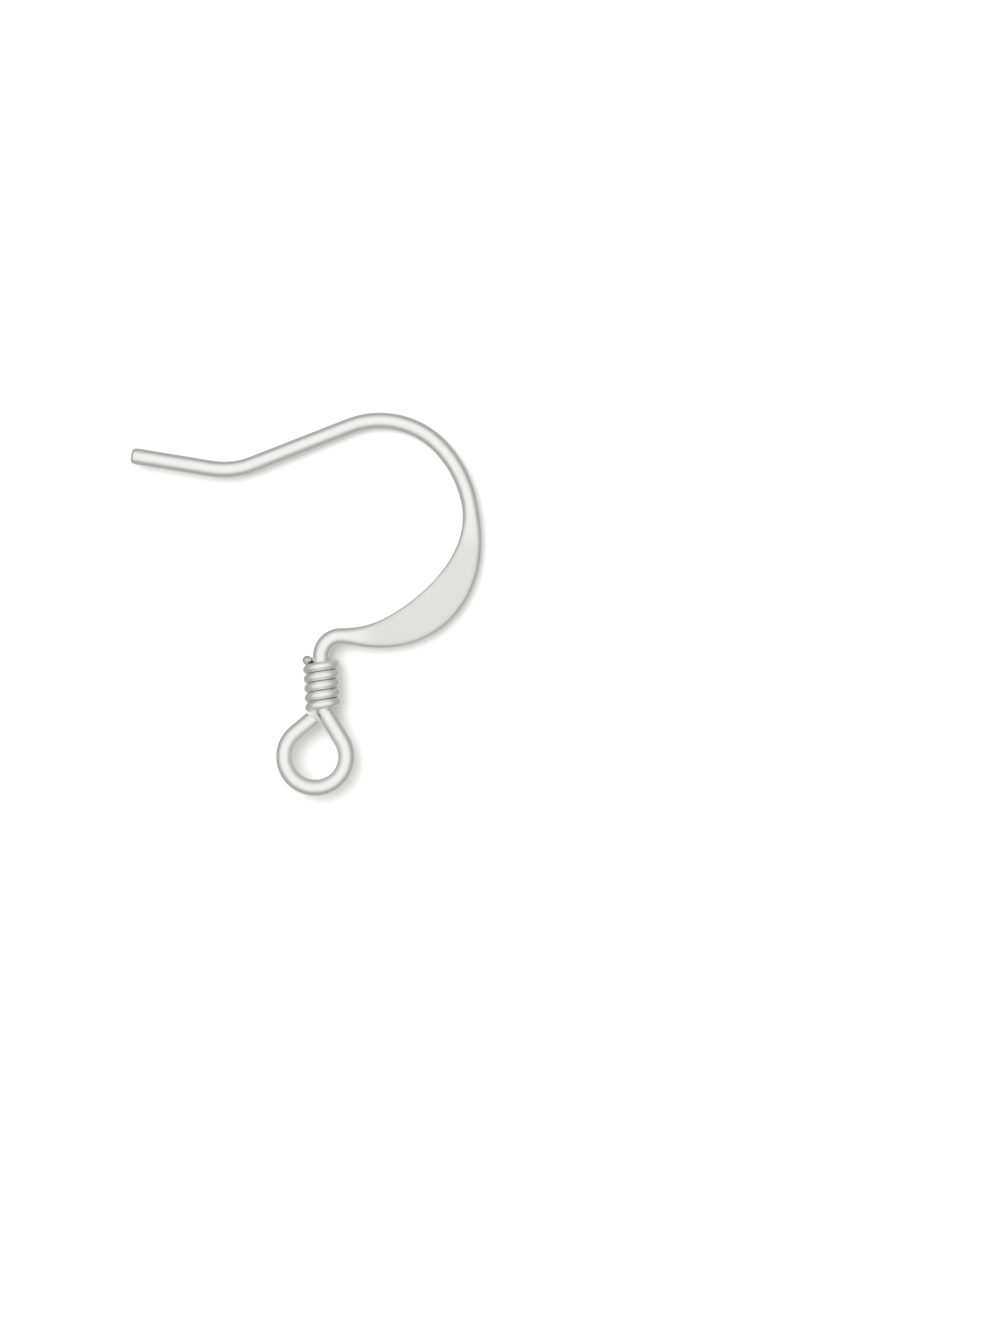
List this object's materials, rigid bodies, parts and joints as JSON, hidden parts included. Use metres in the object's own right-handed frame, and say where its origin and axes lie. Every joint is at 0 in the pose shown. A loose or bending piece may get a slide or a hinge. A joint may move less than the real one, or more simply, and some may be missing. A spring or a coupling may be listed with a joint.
{
  "type": "ear wire",
  "caption": "Fish-hook ear wire: round wire bent to a hook with a kicked tail, a front hammered flat, a coil of finer wire round its stem and an open loop for a drop.",
  "frame": {"origin": "centre of the bounding box's bottom face, on the flat surface that the hook lies on", "axes": "+Y along the hook's height, from the loop to the arch; +X from the tail's tip to the front; +Z away from the surface"},
  "size_m": [0.0156, 0.017, 0.0017],
  "materials": {
    "silver_plate": "bright silver plate over drawn brass wire, smooth on the round wire and satin on the hammered front"
  },
  "bodies": {
    "root": {"ear_hook": "silver_plate", "wire_coil": "silver_plate"}
  },
  "joints": []
}
